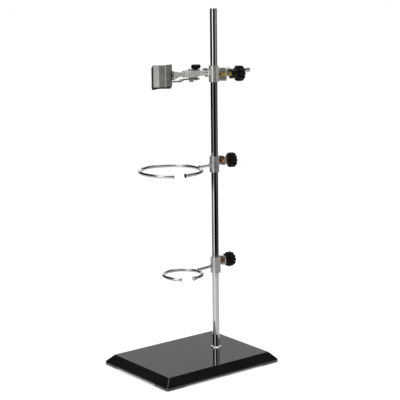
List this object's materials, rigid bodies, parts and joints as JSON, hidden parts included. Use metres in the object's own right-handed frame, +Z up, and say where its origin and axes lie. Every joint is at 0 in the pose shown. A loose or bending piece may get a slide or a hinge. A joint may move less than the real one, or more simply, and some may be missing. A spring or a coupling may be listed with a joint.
{
  "type": "retort stand",
  "caption": "Laboratory stand: heavy rectangular base, upright rod, two open ring clamps and a boss head carrying a two-jaw flask clamp, each set by a star knob.",
  "frame": {"origin": "on the axis of the upright rod, at table level", "axes": "+Z up along the rod; the long side of the base runs along X with most of the base and the clamps towards -X; the front is -Y"},
  "size_m": [0.2613, 0.186, 0.618],
  "materials": {
    "base_black": "gloss black enamel",
    "rod_chrome": "mirror chrome",
    "ring_chrome": "bright chrome",
    "strap_chrome": "bright nickel chrome, slightly soft",
    "plated_steel": "zinc plated, satin",
    "screw_brass": "bare brass thread",
    "knob_black": "moulded phenolic, satin",
    "clamp_grey": "tumbled die casting, matt",
    "jaw_rubber": "matt dark rubber"
  },
  "bodies": {
    "base": {"base_plate": "base_black", "base_nut": "plated_steel"},
    "rod": {"upright_rod": "rod_chrome"},
    "large_turn": {"rod_collar": "rod_chrome"},
    "large_clamp": {"large_ring_boss": "strap_chrome", "large_ring_bush": "plated_steel", "large_ring_arm": "ring_chrome", "large_ring": "ring_chrome"},
    "large_screw": {"large_ring_screw": "screw_brass"},
    "large_knob": {"large_ring_knob": "knob_black", "large_ring_insert": "screw_brass"},
    "small_turn": {"base_washer": "plated_steel"},
    "small_clamp": {"small_ring_boss": "strap_chrome", "small_ring_bush": "plated_steel", "small_ring_arm": "ring_chrome", "small_ring": "ring_chrome"},
    "small_screw": {"small_ring_screw": "screw_brass"},
    "small_knob": {"small_ring_knob": "knob_black", "small_ring_insert": "screw_brass"},
    "boss_head": {"head_boss": "strap_chrome", "head_sleeve": "strap_chrome", "head_bush": "plated_steel"},
    "head_screw": {"head_screw": "screw_brass"},
    "head_knob": {"head_knob": "knob_black", "head_insert": "screw_brass"},
    "thumb_screw": {"thumb_stud": "plated_steel"},
    "thumb_head": {"thumb_head": "plated_steel"},
    "clamp_arm": {"clamp_arm": "rod_chrome"},
    "flask_clamp": {"clamp_body": "clamp_grey", "stem_pin": "plated_steel", "near_stem": "clamp_grey", "near_jaw": "clamp_grey", "near_liner": "jaw_rubber", "near_rivets": "plated_steel", "pivot_bolt": "plated_steel", "pivot_spacer": "plated_steel", "pivot_nut": "plated_steel", "lock_plate": "plated_steel", "lock_screw": "plated_steel"},
    "far_jaw": {"far_arm": "plated_steel", "far_jaw": "clamp_grey", "far_liner": "jaw_rubber", "far_rivets": "plated_steel"},
    "lock_knob": {"lock_knob": "knob_black"}
  },
  "joints": [
    {"name": "large_swivel", "type": "hinge", "parent": "base", "child": "large_turn", "pos_m": [0, 0, 0.018], "axis": [0, 0, 1], "continuous": true},
    {"name": "large_height", "type": "slide", "parent": "large_turn", "child": "large_clamp", "axis": [0, 0, 1], "range_m": [-0.068, 0.056]},
    {"name": "large_screw_feed", "type": "slide", "parent": "large_clamp", "child": "large_screw", "axis": [0.9816, -0.1908, 0], "range_m": [0, 0.004]},
    {"name": "large_knob_turn", "type": "hinge", "parent": "large_screw", "child": "large_knob", "pos_m": [0.0268, -0.00521, 0.3543], "axis": [0.9816, -0.1908, 0], "range_deg": [0, 1440]},
    {"name": "small_swivel", "type": "hinge", "parent": "base", "child": "small_turn", "pos_m": [0, 0, 0.008], "axis": [0, 0, 1], "continuous": true},
    {"name": "small_height", "type": "slide", "parent": "small_turn", "child": "small_clamp", "axis": [0, 0, 1], "range_m": [-0.13, 0.07]},
    {"name": "small_screw_feed", "type": "slide", "parent": "small_clamp", "child": "small_screw", "axis": [0.9986, 0.0523, 0], "range_m": [0, 0.004]},
    {"name": "small_knob_turn", "type": "hinge", "parent": "small_screw", "child": "small_knob", "pos_m": [0.02726, 0.00143, 0.1743], "axis": [0.9986, 0.0523, 0], "range_deg": [0, 1440]},
    {"name": "head_swivel", "type": "hinge", "parent": "base", "child": "rod", "pos_m": [0, 0, 0.018], "axis": [0, 0, 1], "continuous": true},
    {"name": "head_height", "type": "slide", "parent": "rod", "child": "boss_head", "axis": [0, 0, 1], "range_m": [-0.056, 0.09]},
    {"name": "head_screw_feed", "type": "slide", "parent": "boss_head", "child": "head_screw", "axis": [0.9903, -0.1392, 0], "range_m": [0, 0.004]},
    {"name": "head_knob_turn", "type": "hinge", "parent": "head_screw", "child": "head_knob", "pos_m": [0.04456, -0.00626, 0.5042], "axis": [0.9903, -0.1392, 0], "range_deg": [0, 1440]},
    {"name": "thumb_screw_feed", "type": "slide", "parent": "boss_head", "child": "thumb_screw", "axis": [0.1392, 0.9903, 0], "range_m": [0, 0.0024]},
    {"name": "thumb_turn", "type": "hinge", "parent": "thumb_screw", "child": "thumb_head", "pos_m": [0.00706, 0.0287, 0.507], "axis": [0.1392, 0.9903, 0], "range_deg": [0, 1080]},
    {"name": "arm_slide", "type": "slide", "parent": "boss_head", "child": "clamp_arm", "axis": [-0.9903, 0.1392, 0], "range_m": [-0.004, 0.038]},
    {"name": "clamp_roll", "type": "hinge", "parent": "clamp_arm", "child": "flask_clamp", "pos_m": [-0.01133, 0.01997, 0.507], "axis": [-0.9903, 0.1392, 0], "continuous": true},
    {"name": "jaw_open", "type": "hinge", "parent": "flask_clamp", "child": "far_jaw", "pos_m": [-0.03114, 0.02276, 0.507], "axis": [0, 0, -1], "range_deg": [0, 30]},
    {"name": "lock_knob_turn", "type": "hinge", "parent": "flask_clamp", "child": "lock_knob", "pos_m": [-0.02212, 0.02149, 0.517], "axis": [0, 0, 1], "range_deg": [0, 360]}
  ],
  "couplings": [
    {"joint": "large_screw_feed", "follows": "large_knob_turn", "m_per_rad": 0.00015915},
    {"joint": "small_screw_feed", "follows": "small_knob_turn", "m_per_rad": 0.00015915},
    {"joint": "head_screw_feed", "follows": "head_knob_turn", "m_per_rad": 0.00015915},
    {"joint": "thumb_screw_feed", "follows": "thumb_turn", "m_per_rad": 0.00012732}
  ]
}
